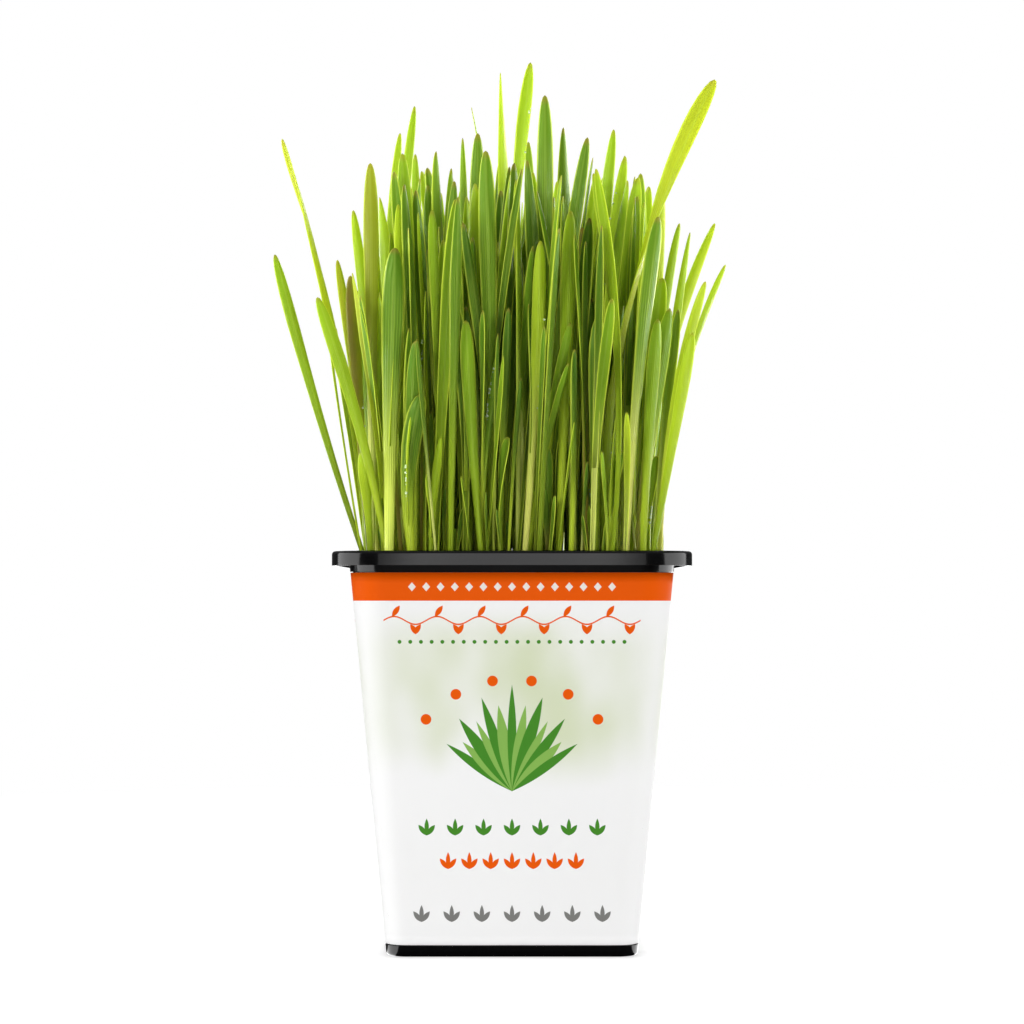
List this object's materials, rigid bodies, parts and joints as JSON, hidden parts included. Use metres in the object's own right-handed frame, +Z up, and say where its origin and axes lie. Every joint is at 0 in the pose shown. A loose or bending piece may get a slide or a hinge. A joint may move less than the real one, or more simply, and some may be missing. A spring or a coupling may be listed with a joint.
{
  "type": "potted wheatgrass",
  "caption": "Square tapered black plastic pot with a turned-down rim and a printed paper band, filled with soil and a dense upright clump of wheatgrass blades.",
  "frame": {"origin": "middle of the pot's underside, on the surface it stands on", "axes": "+Z up along the pot's centre line, -Y the front of the pot, +X to the right seen from the front"},
  "size_m": [0.1278, 0.1105, 0.261],
  "materials": {
    "pot_plastic": "gloss",
    "printed_paper": "satin",
    "potting_soil": "matte",
    "wheatgrass": "satin"
  },
  "bodies": {
    "root": {"pot": "pot_plastic", "paper_band": "printed_paper", "soil": "potting_soil", "grass_patch_11": "wheatgrass", "grass_patch_12": "wheatgrass", "grass_patch_13": "wheatgrass", "grass_patch_14": "wheatgrass", "grass_patch_15": "wheatgrass", "grass_patch_16": "wheatgrass", "grass_patch_21": "wheatgrass", "grass_patch_22": "wheatgrass", "grass_patch_23": "wheatgrass", "grass_patch_24": "wheatgrass", "grass_patch_25": "wheatgrass", "grass_patch_26": "wheatgrass", "grass_patch_31": "wheatgrass", "grass_patch_32": "wheatgrass", "grass_patch_33": "wheatgrass", "grass_patch_34": "wheatgrass", "grass_patch_35": "wheatgrass", "grass_patch_36": "wheatgrass", "grass_patch_41": "wheatgrass", "grass_patch_42": "wheatgrass", "grass_patch_43": "wheatgrass", "grass_patch_44": "wheatgrass", "grass_patch_45": "wheatgrass", "grass_patch_46": "wheatgrass", "grass_patch_51": "wheatgrass", "grass_patch_52": "wheatgrass", "grass_patch_53": "wheatgrass", "grass_patch_54": "wheatgrass", "grass_patch_55": "wheatgrass", "grass_patch_56": "wheatgrass", "grass_patch_61": "wheatgrass", "grass_patch_62": "wheatgrass", "grass_patch_63": "wheatgrass", "grass_patch_64": "wheatgrass", "grass_patch_65": "wheatgrass", "grass_patch_66": "wheatgrass"}
  },
  "joints": []
}
